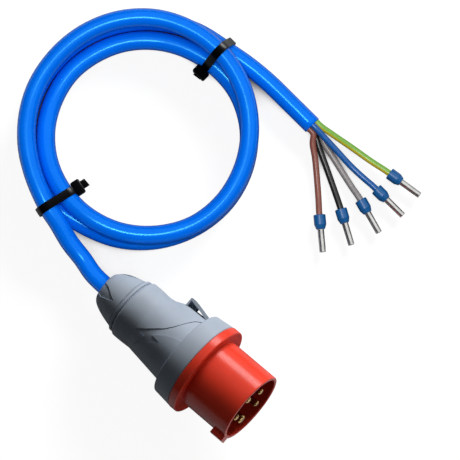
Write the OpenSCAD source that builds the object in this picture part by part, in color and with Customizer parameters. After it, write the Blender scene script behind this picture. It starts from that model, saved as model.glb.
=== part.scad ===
// Five-pole industrial plug with a gland, on a coiled five-core cable whose free end carries ferrules.
// Millimetres. The plug is drawn along its own axis, s from the nut's cable end to the sleeve's rim,
// and then laid on the floor the way it comes to rest, on its barrel and its collar.

/* [Cable] */
// Outer diameter of the cable jacket
cable_d = 13.6; // [13:0.1:13.6]
// Outer diameter of one insulated core
core_d = 4.6; // [4:0.1:4.6]
// How far the jacket reaches into the plug
jacket_inset = 34; // [30:0.5:40]

/* [Gland] */
// Length of the gland nut
nut_len = 21.2; // [20.6:0.1:23]
// How much narrower the nut is at its cable end
nut_taper = 10.6; // [9:0.1:11]
// Wall of the nut over the spigot at its housing end
nut_wall = 6.4; // [6:0.1:6.6]
// Thickness of the nut's floor around the cable
nut_floor = 6; // [5.5:0.1:6.5]
// Number of grip flutes on the nut
nut_flutes = 4; // [4:1:8]
// Depth of a grip flute
flute_depth = 0.8; // [0.4:0.1:0.9]
// Width of a grip flute at its wide end
flute_w = 9.4; // [7:0.1:10]
// Radius of the threaded spigot under the nut
spigot_r = 14.4; // [14:0.1:14.6]
// Wall of the spigot
spigot_wall = 3; // [2.6:0.1:3.2]
// Thickness of the pressure ring
ring_t = 2.2; // [1.8:0.1:2.4]
// Length of the clamp cage
cage_len = 5.5; // [4:0.1:7]

/* [Housing] */
// Length of the rear ring behind the barrel
rear_ring_len = 2.4; // [2:0.1:3]
// Radius of the bead behind the barrel
barrel_r = 23.6; // [23.3:0.1:24.5]
// Length of the bead
bead_len = 8; // [7:0.1:12]
// Barrel radius at its waist
waist_r = 23.2; // [22.6:0.1:23.3]
// Barrel radius where it meets the collar
flare_r = 27.9; // [27:0.1:28.4]
// Length from the nut to the collar
barrel_len = 55; // [50:0.2:60]
// Wall of the housing
wall = 2.8; // [2.4:0.1:3.2]
// Collar radius at the front
collar_r = 35.8; // [35.4:0.1:37]
// How much narrower the collar is at its rear edge
collar_draft = 1.4; // [1:0.1:2]
// Length of the collar
collar_len = 15; // [14.4:0.1:18]
// Rounding of the collar's rear edge
collar_round = 1.2; // [1:0.1:2.5]
// Depth of the flash cut into the barrel
flash_depth = 0.5; // [0.4:0.1:1]

/* [Hook] */
// Width of the hook across the plug
hook_w = 15; // [12:0.5:18]
// Thickness of the hook's roof
hook_t = 2.6; // [2:0.1:3]
// Width of the web under the roof
hook_web = 4; // [3:0.2:6]
// How far the hook's tip stays below the collar's radius
hook_drop = 2.7; // [2:0.1:3.6]
// Distance of the hook's tip behind the collar
hook_reach = 21.9; // [20:0.1:24]
// Height of the saddle under the hook above the axis
saddle_top = 27.4; // [26.6:0.1:28]
// Radius of the saddle across the plug
saddle_r = 17; // [14:0.1:19]

/* [Front] */
// How far the flange stands out beyond the collar
flange_lip = 0.3; // [0.2:0.1:1]
// Thickness of the flange
flange_len = 6.4; // [5:0.1:7]
// Outer radius of the sleeve
sleeve_r = 27.8; // [27.6:0.1:28.6]
// Wall of the sleeve
sleeve_wall = 2.6; // [2.2:0.1:2.8]
// Length of the sleeve in front of the flange
sleeve_len = 40.4; // [39:0.1:46]
// Length of the key
key_len = 10.6; // [9:0.1:18]
// Width of the key
key_w = 10; // [8:0.1:12]
// How far the key stands out of the sleeve
key_h = 3.8; // [2:0.1:4]

/* [Contacts] */
// Radius of the pins' circle
pin_circle_r = 13.5; // [13:0.1:16]
// Diameter of a phase or neutral pin
pin_d = 5; // [4:0.1:6]
// Diameter of the earth pin
earth_d = 7; // [6:0.1:7.4]
// How far the pins end behind the rim
pin_recess = 1.2; // [0.8:0.1:10]
// Depth of the insert's face behind the rim
face_depth = 38; // [34:0.5:40]

/* [Cable ends] */
// Diameter of a ferrule's collar
ferrule_collar_d = 8.8; // [8:0.1:9]
// Length of a ferrule's collar
ferrule_collar_len = 10.6; // [9:0.1:12]
// Diameter of a ferrule's tube
ferrule_d = 4.7; // [4.5:0.1:5]
// Length of the tube in front of the collar
ferrule_len = 16.7; // [12:0.1:20]

/* [Cable ties] */
// Width of the strap
strap_w = 6.2; // [5:0.1:7]
// Thickness of the strap
strap_t = 1.2; // [0.8:0.1:1.2]
// Width of the tie's head along the cable
head_w = 11; // [9:0.1:12]
// Height of the tie's head
head_h = 8.8; // [8:0.1:9.4]
// Thickness of the tie's head
head_t = 7.2; // [6:0.1:8]

/* [Hidden] */
$fn = 64;
eps = 0.01;

// Clearances: parts that move, parts that slide together once, and what lies around the cable.
run_gap = 0.3;
seat_gap = 0.3;
slip_gap = 0.2;
cable_gap = 0.9;
grip_gap = 0.05;
strap_gap = 0.5;

// Stations along the plug's axis, and the nut's two ends.
cable_r = cable_d / 2;
nut_front_r = spigot_r + nut_wall;
nut_rear_r = nut_front_r - nut_taper;
housing_rear = nut_len + 0.6;
barrel_rear = housing_rear + rear_ring_len + 0.6;
collar_rear = housing_rear + barrel_len;
collar_front = collar_rear + collar_len;
flange_rear = collar_front + slip_gap;
sleeve_rear = flange_rear + flange_len;
rim = sleeve_rear + sleeve_len;
ring_rear = nut_floor + seat_gap;
cage_rear = ring_rear + ring_t + seat_gap;
spigot_rear = cage_rear + 0.5;
gland_floor = housing_rear - 2;
chamber_rear = housing_rear + 0.8;
barrel_round = 2.5;
corner_r = 1.2;
hook_tip_r = collar_r - hook_drop;
flute_turn = 16.5;
rim_round = 0.8;

// The front's skirt, the insert's seat and the pins.
flange_r = collar_r + flange_lip;
skirt_r = collar_r - 4.8;
skirt_rear = collar_rear + 9;
skirt_bore = skirt_r - 2.2;
seat_s = flange_rear + 2;
insert_rear = seat_s - 4.5;
insert_face = rim - face_depth;
sleeve_bore = sleeve_r - sleeve_wall;
terminal_rear = insert_rear - 14.5;
terminal_r = 4.2;
screw_r = 1.7;
pin_tip = rim - pin_recess;
pin_start = -48;
pin_step = 72;
core_pitch = 4;
shank_step = 0.4;

// Angle of rest: the line that touches the barrel's rear edge and the collar's rear edge.
barrel_edge = [barrel_r - barrel_round, barrel_rear + barrel_round];
collar_edge = [collar_r - collar_draft - collar_round, collar_rear + collar_round];
edge_span = collar_edge - barrel_edge;
rest_tilt = acos((barrel_round - collar_round) / norm(edge_span)) - atan2(edge_span[1], edge_span[0]);
plug_z = barrel_edge[0] * cos(rest_tilt) - barrel_edge[1] * sin(rest_tilt) + barrel_round;
plug_x_max = (rim - rim_round) * cos(rest_tilt) + (sleeve_r - rim_round) * sin(rest_tilt) + rim_round;
plug_x_min = -nut_rear_r * sin(rest_tilt);
plug_x = -(plug_x_max + plug_x_min) / 2;

// The coil: centre, start angle, and radius and height of the cable's middle over the wrap angle.
coil_centre = [-127.2, 101.7];
coil_start = 260.6;
coil_first = -10;
coil_end = 900;
coil_step = 20;
coil_radius = [[-10, 90], [0, 86.6], [20, 82.4], [40, 80.8], [80, 78.7], [100, 78.8], [140, 80.2],
    [220, 80], [260, 81.2], [280, 80.9], [320, 76.5], [360, 71.3], [380, 69.2], [400, 67.3], [420, 65.6],
    [460, 63.9], [480, 64.4], [500, 65.7], [520, 68], [540, 71.6], [560, 76.2], [580, 79.4], [600, 81.1],
    [620, 81.8], [660, 81.2], [700, 80.2], [720, 82.6], [740, 82.7], [760, 81.7], [800, 78.6], [820, 78.2],
    [840, 78.4], [860, 80], [880, 82.4], [900, 86.4]];
coil_height = [[-10, 19.6], [0, 22], [20, 22], [60, 21.3], [140, 21.4], [160, 21.9], [180, 21.9],
    [200, 21.7], [220, 21.1], [340, 21], [360, 17.8], [380, 13.4], [400, 9.4], [420, 7.2], [500, 7.2],
    [520, 8.2], [540, 8.6], [560, 7.9], [580, 7], [680, 7], [700, 8], [720, 8.6], [740, 8.2], [760, 7.1],
    [860, 7.1], [880, 8.2], [900, 8.6]];

// The cable between gland and coil, and between coil and jacket end.
lead_points = [[-96.4, 3.7, 13.1], [-111.4, 6.7, 15.2]];
tail_points = [[-96.8, 188.6, 7.9], [-78.3, 188.9, 7], [-57.8, 187.5, 7]];
jacket_end = [-34, 185.7, 7];

// The five cores: angle around the jacket's end, points on the way, ferrule start and ferrule tip.
core_angle = [162, 234, 306, 90, 18];
core_points = [
    [[-25.2, 175.8, 6.6], [-17.3, 169.2, 4.8], [-7, 159.3, 3.4], [4.1, 148.1, 3.6]],
    [[-19.4, 176.7, 3], [-6.6, 169.4, 2.8], [7, 161.5, 3.2]],
    [[-19.3, 181.8, 3], [-9.1, 178.6, 2.8], [4.7, 174.2, 2.8], [16.9, 170.4, 3.6]],
    [[-21.7, 184.5, 9.2], [-7.9, 183.1, 6.2], [5.9, 181.6, 3.8], [19.2, 181, 3.8]],
    [[-18.9, 190.2, 6.6], [-2.3, 192.3, 3.6], [14.8, 193.8, 3.6]]];
ferrule_start = [[12, 139.8], [21, 153], [27.6, 167.3], [31.1, 180.7], [30.9, 195.7]];
ferrule_tip = [[32.2, 120.1], [43.9, 138.2], [53.2, 158], [57.5, 178.7], [58.2, 197.8]];
ferrule_z = ferrule_collar_d / 2 + 0.1;
ferrule_depth = 6.5;
ferrule_flare = 0.2;
core_colours = ["#5d3a22", "#1d1d1f", "#8d8f92", "#2456b0", "#8fae2b"];

// Vectors, arcs and swept tubes.
function unit(v) = v / norm(v);
function arc(c, r, a0, a1, n) =
    [for (i = [0:n]) let (a = a0 + (a1 - a0) * i / n) [c[0] + r * cos(a), c[1] + r * sin(a)]];
function smooth(u) = u * u * (3 - 2 * u);
function on_axis(s) = [plug_x + s * cos(rest_tilt), 0, plug_z + s * sin(rest_tilt)];
function coil_point(w) = let (a = coil_start - w, r = lookup(w, coil_radius))
    [coil_centre[0] + r * cos(a), coil_centre[1] + r * sin(a), lookup(w, coil_height)];
function heading(route, i) =
    unit(route[min(i + 1, len(route) - 1)] - route[max(i - 1, 0)]);
function ring_points(p, t, r, sides) = let (u = unit(cross(t, [0, 0, 1])), v = cross(u, t))
    [for (k = [0:sides - 1]) let (a = 360 * (k + 0.5) / sides) p + r * (cos(a) * u + sin(a) * v)];
function tube_points(route, r, sides) =
    [for (i = [0:len(route) - 1]) each ring_points(route[i], heading(route, i), r, sides)];
function tube_faces(rings, sides) = concat(
    [[for (k = [sides - 1:-1:0]) k]],
    [[for (k = [0:sides - 1]) (rings - 1) * sides + k]],
    [for (i = [0:rings - 2]) for (k = [0:sides - 1]) let (n = (k + 1) % sides)
        each [[i * sides + k, i * sides + n, (i + 1) * sides + n],
              [i * sides + k, (i + 1) * sides + n, (i + 1) * sides + k]]]);

module tube(route, r, sides) {
    polyhedron(tube_points(route, r, sides), tube_faces(len(route), sides));
}

// Routes of the cable and of the five cores.
cable_route = concat([on_axis(jacket_inset), on_axis(-12)], lead_points,
    [for (w = concat([coil_first], [for (i = [0:coil_step:coil_end]) i])) coil_point(w)],
    tail_points, [jacket_end]);
end_dir = unit(jacket_end - tail_points[len(tail_points) - 1]);
end_side = unit(cross([0, 0, 1], end_dir));
end_up = cross(end_dir, end_side);
function core_exit(i) =
    jacket_end + core_pitch * (cos(core_angle[i]) * end_side + sin(core_angle[i]) * end_up);
function ferrule_dir(i) = let (d = ferrule_tip[i] - ferrule_start[i]) unit([d[0], d[1], 0]);
function ferrule_base(i) = [ferrule_start[i][0], ferrule_start[i][1], ferrule_z];
function core_route(i) = concat([core_exit(i), core_exit(i) + core_d * end_dir], core_points[i],
    [ferrule_base(i) - 2 * ferrule_dir(i), ferrule_base(i) + ferrule_depth * ferrule_dir(i)]);

// Outlines of the turned parts, as [radius, station].
function pin_radius(i) = (i == 0 ? earth_d : pin_d) / 2;
function nut_radius(s) =
    nut_rear_r + (nut_front_r - nut_rear_r) * pow(s / nut_len, 0.45);
bead_front = barrel_rear + bead_len;
waist_s = bead_front + 9;
function barrel_radius(s) = s < waist_s
    ? barrel_r + (waist_r - barrel_r) * smooth(max(0, s - bead_front) / (waist_s - bead_front))
    : waist_r + (flare_r - waist_r) * (s - waist_s) / (collar_rear - waist_s);
barrel_steps = concat([for (i = [0:5]) bead_front + (waist_s - bead_front) * i / 5],
    [collar_rear - corner_r]);
barrel_flank = concat(arc(barrel_edge, barrel_round, -90, 0, 6),
    [for (s = barrel_steps) [barrel_radius(s), s]]);
collar_flank = concat(arc([flare_r + corner_r, collar_rear - corner_r], corner_r, 180, 90, 4),
    arc(collar_edge, collar_round, -90, 0, 8),
    [[collar_r, collar_front - 0.5], [collar_r - 0.5, collar_front]]);
ring_outline = [[barrel_r - 1.8, housing_rear], [barrel_r - 1.3, housing_rear + 0.5],
    [barrel_r - 1.3, barrel_rear - 0.9], [barrel_r - 1.6, barrel_rear - 0.6],
    [barrel_r - 2.2, barrel_rear - 0.5], [barrel_r - 2.6, barrel_rear]];

module in_place() {
    translate([plug_x, 0, plug_z]) rotate([0, 90 - rest_tilt, 0]) children();
}

module at_pin(i) {
    rotate([0, 0, pin_start + pin_step * i]) translate([pin_circle_r, 0, 0]) children();
}

// The zig-zag outline of the flash, as [station, height across the plug].
module flash_shape() {
    f = collar_rear;
    polygon([[f - 35, -10], [f - 26, -3.8], [f - 17.4, 3.2], [f - 13, 8.8], [f - 6.2, 20.9], [f - 1, 25],
        [f - 1, 3.4], [f - 5.5, 2.5], [f - 13.2, -0.3], [f - 21.7, -6.3], [f - 13.7, -7.2],
        [f - 29.7, -18.9], [f - 26.3, -10.8]]);
}

// What the flash takes away: the drawn shape, down to a barrel that is smaller by the depth.
module flash_cut() {
    difference() {
        rotate([0, -90, 0]) linear_extrude(flare_r + 5) flash_shape();
        rotate_extrude() polygon(concat([[0, barrel_rear]],
            [for (s = concat([barrel_rear], barrel_steps)) [barrel_radius(s) - flash_depth, s]],
            [[flare_r - flash_depth, collar_rear], [0, collar_rear]]));
    }
}

// The saddle swells out of the barrel towards the hook.
module saddle_disc(s, top) {
    translate([0, top - saddle_r, s]) cylinder(r = saddle_r, h = 0.2, $fn = 48);
}

module saddle() {
    crest = collar_rear - hook_reach;
    hull() {
        saddle_disc(crest - 11, barrel_radius(crest - 11) - 0.6);
        saddle_disc(crest, saddle_top);
    }
    hull() {
        saddle_disc(crest, saddle_top);
        saddle_disc(collar_rear + 0.5, saddle_top + 1.4);
    }
}

// The hook in the plane of axis and height: roof and rear rib around a web that stops short of the pinch.
module hook() {
    tip = collar_rear - hook_reach;
    pinch = tip + 10;
    root = collar_rear + 1;
    root_r = flare_r + 0.8;
    roof_r = hook_tip_r + (root_r - hook_tip_r) * (pinch - tip - 4.3) / (root - tip - 4.3);
    pinch_r = roof_r - hook_t + 0.2;
    rotate([0, -90, 0]) {
        translate([0, 0, -hook_w / 2]) linear_extrude(hook_w)
            polygon([[tip, saddle_top - 2], [tip, hook_tip_r - 0.6], [tip + 0.6, hook_tip_r],
                [tip + 4.3, hook_tip_r], [root, root_r], [root, flare_r - 2], [pinch, pinch_r],
                [tip + 1.3, hook_tip_r - hook_t + 0.7], [tip + 1.3, saddle_top - 2]]);
        translate([0, 0, -hook_web / 2]) linear_extrude(hook_web)
            polygon([[tip + 0.6, saddle_top - 2], [tip + 0.6, hook_tip_r - hook_t / 2],
                [tip + 3, hook_tip_r - hook_t / 2], [pinch - 2.4, pinch_r + 1.8],
                [pinch - 2.4, saddle_top - 2]]);
    }
}

module plug_housing() {
    color("#7d8994") in_place() difference() {
        union() {
            rotate_extrude() polygon(concat([[0, spigot_rear], [spigot_r - 0.6, spigot_rear],
                [spigot_r, spigot_rear + 0.6], [spigot_r, housing_rear]], ring_outline, barrel_flank,
                collar_flank, [[0, collar_front]]));
            saddle();
            hook();
        }
        translate([0, 0, spigot_rear - 1])
            cylinder(r = spigot_r - spigot_wall, h = gland_floor - spigot_rear + 1);
        cylinder(r = cable_r + 0.5, h = collar_rear);
        rotate_extrude() polygon(concat([[0, chamber_rear], [barrel_r - wall - 1, chamber_rear],
            [barrel_r - wall, chamber_rear + 3]],
            [for (s = barrel_steps) [barrel_radius(s) - wall, s]],
            [[flare_r - wall, collar_rear + wall], [skirt_r + slip_gap, collar_rear + wall],
             [skirt_r + slip_gap, collar_front + 1], [0, collar_front + 1]]));
        translate([0, 0, collar_front - 1]) difference() {
            cylinder(r = collar_r - 1, h = 2);
            translate([0, 0, -1]) cylinder(r = collar_r - 3.6, h = 4);
        }
        flash_cut();
    }
}

// The nut's bulge, with its points closer together towards the cable end where it curves most.
function nut_curve(inset) =
    [for (i = [0:12]) let (s = (nut_len - 0.7) * i * i / 144) [nut_radius(s) - inset, s]];

// What the flutes take away: pointed shapes, down to a nut that is smaller by the depth.
module flute_cut() {
    difference() {
        for (i = [0:nut_flutes - 1]) rotate([0, 0, 180 + flute_turn + 360 * i / nut_flutes])
            rotate([0, 90, 0]) linear_extrude(nut_front_r + 2)
                polygon([[1, -flute_w / 2], [-5.5, -flute_w / 2], [-0.75 * nut_len, 0],
                    [-5.5, flute_w / 2], [1, flute_w / 2]]);
        rotate_extrude() polygon(concat([[0, -2], [nut_rear_r - flute_depth, -2]],
            nut_curve(flute_depth), [[nut_front_r, nut_len + 1], [0, nut_len + 1]]));
    }
}

module gland_nut() {
    color("#87929c") in_place() difference() {
        rotate_extrude() polygon(concat([[cable_r + cable_gap, 0]], nut_curve(0),
            [[nut_front_r - 0.7, nut_len], [spigot_r + run_gap, nut_len],
             [spigot_r + run_gap, nut_floor], [cable_r + cable_gap, nut_floor]]));
        flute_cut();
    }
}

module pressure_ring() {
    color("#c9ccc8") in_place() translate([0, 0, ring_rear]) difference() {
        cylinder(r = spigot_r - 0.1, h = ring_t);
        translate([0, 0, -1]) cylinder(r = cable_r + 0.7, h = ring_t + 2);
    }
}

module clamp_cage() {
    color("#d8d9d4") in_place() translate([0, 0, cage_rear]) difference() {
        cylinder(r = spigot_r - spigot_wall - slip_gap, h = cage_len);
        translate([0, 0, -1]) cylinder(r = cable_r + slip_gap, h = cage_len + 2);
        for (i = [0:3]) rotate([0, 0, 45 * i]) translate([-spigot_r, -0.6, -1])
            cube([2 * spigot_r, 1.2, cage_len - 0.8]);
    }
}

module gland_seal() {
    color("#26282b") in_place() translate([0, 0, cage_rear + cage_len]) difference() {
        cylinder(r = spigot_r - spigot_wall - slip_gap, h = gland_floor - cage_rear - cage_len);
        translate([0, 0, -1]) cylinder(r = cable_r + grip_gap, h = gland_floor);
    }
}

module flange_gasket() {
    color("#202225") in_place() translate([0, 0, collar_front - 1]) difference() {
        cylinder(r = collar_r - 1.1, h = flange_rear - collar_front + 1);
        translate([0, 0, -1]) cylinder(r = collar_r - 3.5, h = 4);
    }
}

module front_sleeve() {
    color("#cd3728") in_place() {
        rotate_extrude() polygon(concat([[skirt_bore, skirt_rear], [skirt_r - 0.6, skirt_rear],
            [skirt_r, skirt_rear + 0.6], [skirt_r, flange_rear], [flange_r - 0.5, flange_rear],
            [flange_r, flange_rear + 0.5]],
            arc([flange_r - 0.8, sleeve_rear - 0.8], 0.8, 0, 90, 4),
            [[sleeve_r, sleeve_rear]],
            arc([sleeve_r - rim_round, rim - rim_round], rim_round, 0, 90, 4),
            [[sleeve_bore + 0.5, rim], [sleeve_bore, rim - 0.5], [sleeve_bore, seat_s],
             [skirt_bore, seat_s]]));
        translate([0, 0, rim - key_len]) intersection() {
            difference() {
                cylinder(r = sleeve_r + key_h, h = key_len);
                translate([0, 0, -1]) cylinder(r = sleeve_r - sleeve_wall / 2, h = key_len + 2);
            }
            translate([-key_w / 2, -sleeve_r - key_h - 1, -1]) cube([key_w, sleeve_r, key_len + 2]);
        }
    }
}

module contact_insert() {
    color("#5a1a17") in_place() difference() {
        rotate_extrude() polygon([[0, insert_rear], [skirt_bore - run_gap, insert_rear],
            [skirt_bore - run_gap, seat_s], [sleeve_bore - run_gap, seat_s],
            [sleeve_bore - run_gap, insert_face - 0.6], [sleeve_bore - run_gap - 0.6, insert_face],
            [0, insert_face]]);
        for (i = [0:4]) at_pin(i) translate([0, 0, insert_rear - 1])
            cylinder(r = pin_radius(i) + shank_step + grip_gap, h = insert_face - insert_rear + 2);
    }
}

// Pin with a rounded tip and a screw terminal at its rear.
module pin(i) {
    r = pin_radius(i);
    color("#b8935a") in_place() at_pin(i) difference() {
        rotate_extrude() polygon(concat([[0, terminal_rear], [terminal_r - 0.4, terminal_rear],
            [terminal_r, terminal_rear + 0.4], [terminal_r, insert_rear], [r + shank_step, insert_rear],
            [r + shank_step, insert_face - shank_step / 2], [r, insert_face + shank_step / 2]],
            arc([r - 1.5, pin_tip - 1.5], 1.5, 0, 90, 5), [[0, pin_tip]]));
        translate([0, 0, terminal_rear - 1]) cylinder(r = 2, h = 11, $fn = 32);
        translate([0, 0, terminal_rear + 5]) rotate([0, 90, 0])
            cylinder(r = screw_r + grip_gap, h = terminal_r + 1, $fn = 32);
    }
}

module terminal_screws() {
    color("#b9bcc0") in_place() for (i = [0:4]) at_pin(i)
        translate([1, 0, terminal_rear + 5]) rotate([0, 90, 0]) difference() {
            cylinder(r = screw_r, h = terminal_r + 0.2, $fn = 32);
            translate([-2, -0.3, terminal_r - 0.6]) cube([4, 0.6, 2]);
        }
}

module cable_jacket() {
    color("#006ef5") tube(cable_route, cable_r, 12);
}

module core(i) {
    color(core_colours[i]) tube(core_route(i), core_d / 2, 8);
}

// The plug end of a core, from the jacket's inner end to its terminal.
module lead(i, pin_no) {
    color(core_colours[i]) in_place() rotate([0, 0, pin_start + pin_step * pin_no]) hull() {
        translate([core_pitch, 0, jacket_inset]) cylinder(d = core_d, h = core_d / 4, $fn = 24);
        translate([pin_circle_r, 0, terminal_rear - core_d / 4])
            cylinder(d = core_d, h = core_d / 4, $fn = 24);
    }
}

module at_ferrule(i) {
    d = ferrule_dir(i);
    translate(ferrule_base(i)) rotate([0, 90, atan2(d[1], d[0])]) children();
}

module ferrule_collar(i) {
    r = ferrule_collar_d / 2;
    flare = ferrule_d / 2 + ferrule_flare + grip_gap;
    color("#235a9b") at_ferrule(i) rotate_extrude($fn = 48) polygon([[core_d / 2 + grip_gap + 0.1, 0],
        [r - 0.4, 0], [r, 0.4], [r, ferrule_collar_len * 0.68], [flare + 0.5, ferrule_collar_len],
        [flare, ferrule_collar_len], [flare, ferrule_depth], [core_d / 2 + grip_gap + 0.1, ferrule_depth]]);
}

module ferrule_tube(i) {
    r = ferrule_d / 2;
    tip = ferrule_collar_len + ferrule_len;
    color("#c4c7c9") at_ferrule(i) rotate_extrude($fn = 48) polygon([[0, ferrule_depth],
        [r + ferrule_flare, ferrule_depth], [r + ferrule_flare, ferrule_collar_len - ferrule_flare],
        [r, ferrule_collar_len + ferrule_flare], [r, tip - 0.3], [r - 0.3, tip], [r - 0.5, tip],
        [r - 0.5, tip - 1.5], [0, tip - 1.5]]);
}

// Cross-section through the three strands at one wrap angle, as seen along the cable.
module strand_bundle(w, r) {
    hull() for (v = [w, w + 360, w + 720])
        translate([lookup(v, coil_radius), lookup(v, coil_height)]) circle(r = r, $fn = 32);
}

// A tie across the coil, turned square to its strands: strap, head on the inner side, tail stub.
module tie(w, turn, head_up, tail_len) {
    inner = lookup(w + 360, coil_radius);
    head_z = lookup(w + 360, coil_height) + head_up;
    pivot = (lookup(w, coil_radius) + inner) / 2;
    head_x = inner - cable_r - strap_gap - head_t + 0.6;
    color("#17181a") translate([coil_centre[0], coil_centre[1], 0]) rotate([0, 0, coil_start - w])
        translate([pivot, 0, 0]) rotate([0, 0, turn]) translate([-pivot, 0, 0]) rotate([90, 0, 0])
            difference() {
                union() {
                    translate([0, 0, -strap_w / 2]) linear_extrude(strap_w)
                        strand_bundle(w, cable_r + strap_gap + strap_t);
                    translate([head_x, head_z - head_h / 2, -head_w / 2]) cube([head_t, head_h, head_w]);
                    translate([head_x - tail_len, head_z - strap_t / 2, -strap_w / 2])
                        cube([tail_len + 1, strap_t, strap_w]);
                }
                translate([0, 0, -head_w]) linear_extrude(2 * head_w)
                    strand_bundle(w, cable_r + strap_gap);
            }
}

module cable_tie_upper() {
    tie(176.8, 2.5, 2.6, 1.4);
}

module cable_tie_lower() {
    tie(-2.1, -9, 0.4, 4.6);
}

plug_housing();
gland_nut();
pressure_ring();
clamp_cage();
gland_seal();
flange_gasket();
front_sleeve();
contact_insert();
pin(0);  // pin_earth
pin(1);  // pin_l1
pin(2);  // pin_l2
pin(3);  // pin_l3
pin(4);  // pin_n
terminal_screws();
cable_jacket();
core(0);  // core_brown
core(1);  // core_black
core(2);  // core_grey
core(3);  // core_blue
core(4);  // core_green_yellow
lead(0, 1);  // lead_brown
lead(1, 2);  // lead_black
lead(2, 3);  // lead_grey
lead(3, 4);  // lead_blue
lead(4, 0);  // lead_green_yellow
ferrule_collar(0);  // ferrule_collar_brown
ferrule_collar(1);  // ferrule_collar_black
ferrule_collar(2);  // ferrule_collar_grey
ferrule_collar(3);  // ferrule_collar_blue
ferrule_collar(4);  // ferrule_collar_green_yellow
ferrule_tube(0);  // ferrule_tube_brown
ferrule_tube(1);  // ferrule_tube_black
ferrule_tube(2);  // ferrule_tube_grey
ferrule_tube(3);  // ferrule_tube_blue
ferrule_tube(4);  // ferrule_tube_green_yellow
cable_tie_upper();
cable_tie_lower();
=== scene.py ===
"""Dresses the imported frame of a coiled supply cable: plug, gland, five-core cable, ferrules and ties.

Metres, in the frame's own axes: X along the plug towards its pins, Y towards the coil, Z up. The tables of
places along the cable and its cores are in millimetres.
"""

import logging
import math
from collections.abc import Sequence
from dataclasses import dataclass, field
from enum import Enum

import bmesh
import bpy
from mathutils import Matrix, Vector
from mathutils.geometry import convex_hull_2d

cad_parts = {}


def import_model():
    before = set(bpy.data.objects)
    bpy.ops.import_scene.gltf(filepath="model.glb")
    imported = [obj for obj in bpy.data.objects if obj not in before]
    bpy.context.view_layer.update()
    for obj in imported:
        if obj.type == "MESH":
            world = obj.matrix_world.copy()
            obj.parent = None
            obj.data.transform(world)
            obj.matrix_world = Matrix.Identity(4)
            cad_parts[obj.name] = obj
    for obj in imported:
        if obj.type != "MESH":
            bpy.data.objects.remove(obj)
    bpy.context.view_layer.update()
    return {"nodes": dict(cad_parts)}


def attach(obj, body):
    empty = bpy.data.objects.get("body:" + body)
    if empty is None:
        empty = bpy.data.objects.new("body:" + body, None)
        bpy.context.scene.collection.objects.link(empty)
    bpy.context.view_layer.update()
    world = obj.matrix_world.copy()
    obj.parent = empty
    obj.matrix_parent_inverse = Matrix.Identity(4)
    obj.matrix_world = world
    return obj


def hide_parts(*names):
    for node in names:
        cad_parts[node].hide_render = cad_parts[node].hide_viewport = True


LOG = logging.getLogger("supply_cable")
MM = 0.001
ROOT_BODY = "plug_and_cable"
UP = Vector((0, 0, 1))

Colour = tuple[float, float, float]
Pair = tuple[float, float]
Pieces = Sequence[bpy.types.Object]
Socket = bpy.types.NodeSocket
Table = tuple[Pair, ...]
Triple = tuple[float, float, float]


class Core(Enum):
    """The five cores, named by the colour of their insulation."""

    BROWN = "brown"
    BLACK = "black"
    GREY = "grey"
    BLUE = "blue"
    GREEN_YELLOW = "green_yellow"


class Coordinates(Enum):
    """What a pattern is laid out on."""

    OBJECT = "Object"
    UV = "UV"


def lookup(table: Table, at: float) -> float:
    """Reads a table of (place, value) pairs, straight between its entries.

    Args:
        table: Pairs in rising order of place.
        at: The place to read.

    Returns:
        The value at that place, held at the first and last entries.
    """
    if at <= table[0][0]:
        return table[0][1]
    for (x0, y0), (x1, y1) in zip(table, table[1:]):
        if at <= x1:
            return y0 + (y1 - y0) * (at - x0) / (x1 - x0)
    return table[-1][1]


def smooth_line(points: Sequence[Vector], steps: int) -> list[Vector]:
    """Draws one smooth line through points, with knots spaced by the root of the distance.

    Args:
        points: The points that the line passes through.
        steps: How many pieces each span is cut into.

    Returns:
        The points of the line, both ends included.
    """
    first = points[0] * 2 - points[1]
    last = points[-1] * 2 - points[-2]
    row = [first, *points, last]
    line = []
    for p0, p1, p2, p3 in zip(row, row[1:], row[2:], row[3:]):
        t1 = math.sqrt((p1 - p0).length)
        t2 = t1 + math.sqrt((p2 - p1).length)
        t3 = t2 + math.sqrt((p3 - p2).length)
        for i in range(steps):
            t = t1 + (t2 - t1) * i / steps
            a1 = p0 + (p1 - p0) * (t / t1)
            a2 = p1 + (p2 - p1) * ((t - t1) / (t2 - t1))
            a3 = p2 + (p3 - p2) * ((t - t2) / (t3 - t2))
            b1 = a1 + (a2 - a1) * (t / t2)
            b2 = a2 + (a3 - a2) * ((t - t1) / (t3 - t1))
            line.append(b1 + (b2 - b1) * ((t - t1) / (t2 - t1)))
    line.append(points[-1].copy())
    return line


def line_length(line: Sequence[Vector]) -> float:
    """Adds up the length of a line of points."""
    return sum((b - a).length for a, b in zip(line, line[1:]))


def place_object(name: str, data: bpy.types.ID) -> bpy.types.Object:
    """Makes an object of its data and links it into the scene.

    Args:
        name: The object's name.
        data: Its mesh, curve, camera or light.

    Returns:
        The object, at the origin.
    """
    made = bpy.data.objects.new(name, data)
    bpy.context.scene.collection.objects.link(made)
    return made


def mesh_object(name: str, mesh: bmesh.types.BMesh, smooth: bool = True) -> bpy.types.Object:
    """Turns a bmesh into an object at the origin and frees the bmesh.

    Args:
        name: The piece's name.
        mesh: The finished bmesh.
        smooth: Whether its faces are shaded smooth.

    Returns:
        The object, linked into the scene.
    """
    data = bpy.data.meshes.new(name)
    mesh.to_mesh(data)
    mesh.free()
    for face in data.polygons:
        face.use_smooth = smooth
    return place_object(name, data)


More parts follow.
